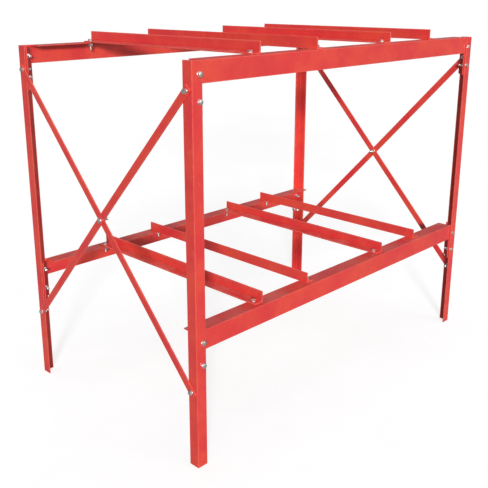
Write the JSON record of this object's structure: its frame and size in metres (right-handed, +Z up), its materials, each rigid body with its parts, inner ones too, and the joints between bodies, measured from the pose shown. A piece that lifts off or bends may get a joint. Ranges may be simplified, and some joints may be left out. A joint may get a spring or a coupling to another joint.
{
  "type": "tyre storage rack",
  "caption": "Free-standing tiered tyre rack of bolted red steel angle, with long rails, paired joists that cradle the tyres, and crossed flat-bar braces at its ends.",
  "frame": {"origin": "on the floor under the middle of the rack", "axes": "+X along the rack's length, +Y to its back, +Z up"},
  "size_m": [1.8386, 1.0674, 1.5153],
  "materials": {
    "red_paint": "satin red paint over rolled steel angle and flat bar",
    "zinc_plate": "bright zinc-plated fasteners"
  },
  "bodies": {
    "root": {"upright_front_left": "red_paint", "upright_front_right": "red_paint", "upright_back_left": "red_paint", "upright_back_right": "red_paint", "rail_upper_front": "red_paint", "rail_upper_back": "red_paint", "rail_lower_front": "red_paint", "rail_lower_back": "red_paint", "joist_upper_1": "red_paint", "joist_upper_2": "red_paint", "joist_upper_3": "red_paint", "joist_upper_4": "red_paint", "joist_lower_1": "red_paint", "joist_lower_2": "red_paint", "joist_lower_3": "red_paint", "joist_lower_4": "red_paint", "brace_left_inner": "red_paint", "brace_left_outer": "red_paint", "bolt_brace_left_front_low": "zinc_plate", "bolt_brace_left_front_high": "zinc_plate", "bolt_brace_left_back_low": "zinc_plate", "bolt_brace_left_back_high": "zinc_plate", "brace_right_inner": "red_paint", "brace_right_outer": "red_paint", "bolt_brace_right_front_low": "zinc_plate", "bolt_brace_right_front_high": "zinc_plate", "bolt_brace_right_back_low": "zinc_plate", "bolt_brace_right_back_high": "zinc_plate", "bolt_rail_upper_front_left_1": "zinc_plate", "bolt_rail_upper_front_left_2": "zinc_plate", "bolt_rail_upper_front_right_1": "zinc_plate", "bolt_rail_upper_front_right_2": "zinc_plate", "bolt_rail_upper_back_left_1": "zinc_plate", "bolt_rail_upper_back_left_2": "zinc_plate", "bolt_rail_upper_back_right_1": "zinc_plate", "bolt_rail_upper_back_right_2": "zinc_plate", "bolt_rail_lower_front_left_1": "zinc_plate", "bolt_rail_lower_front_left_2": "zinc_plate", "bolt_rail_lower_front_right_1": "zinc_plate", "bolt_rail_lower_front_right_2": "zinc_plate", "bolt_rail_lower_back_left_1": "zinc_plate", "bolt_rail_lower_back_left_2": "zinc_plate", "bolt_rail_lower_back_right_1": "zinc_plate", "bolt_rail_lower_back_right_2": "zinc_plate", "bolt_joist_upper_1_front": "zinc_plate", "bolt_joist_upper_1_back": "zinc_plate", "bolt_joist_upper_2_front": "zinc_plate", "bolt_joist_upper_2_back": "zinc_plate", "bolt_joist_upper_3_front": "zinc_plate", "bolt_joist_upper_3_back": "zinc_plate", "bolt_joist_upper_4_front": "zinc_plate", "bolt_joist_upper_4_back": "zinc_plate", "bolt_joist_lower_1_front": "zinc_plate", "bolt_joist_lower_1_back": "zinc_plate", "bolt_joist_lower_2_front": "zinc_plate", "bolt_joist_lower_2_back": "zinc_plate", "bolt_joist_lower_3_front": "zinc_plate", "bolt_joist_lower_3_back": "zinc_plate", "bolt_joist_lower_4_front": "zinc_plate", "bolt_joist_lower_4_back": "zinc_plate"}
  },
  "joints": []
}
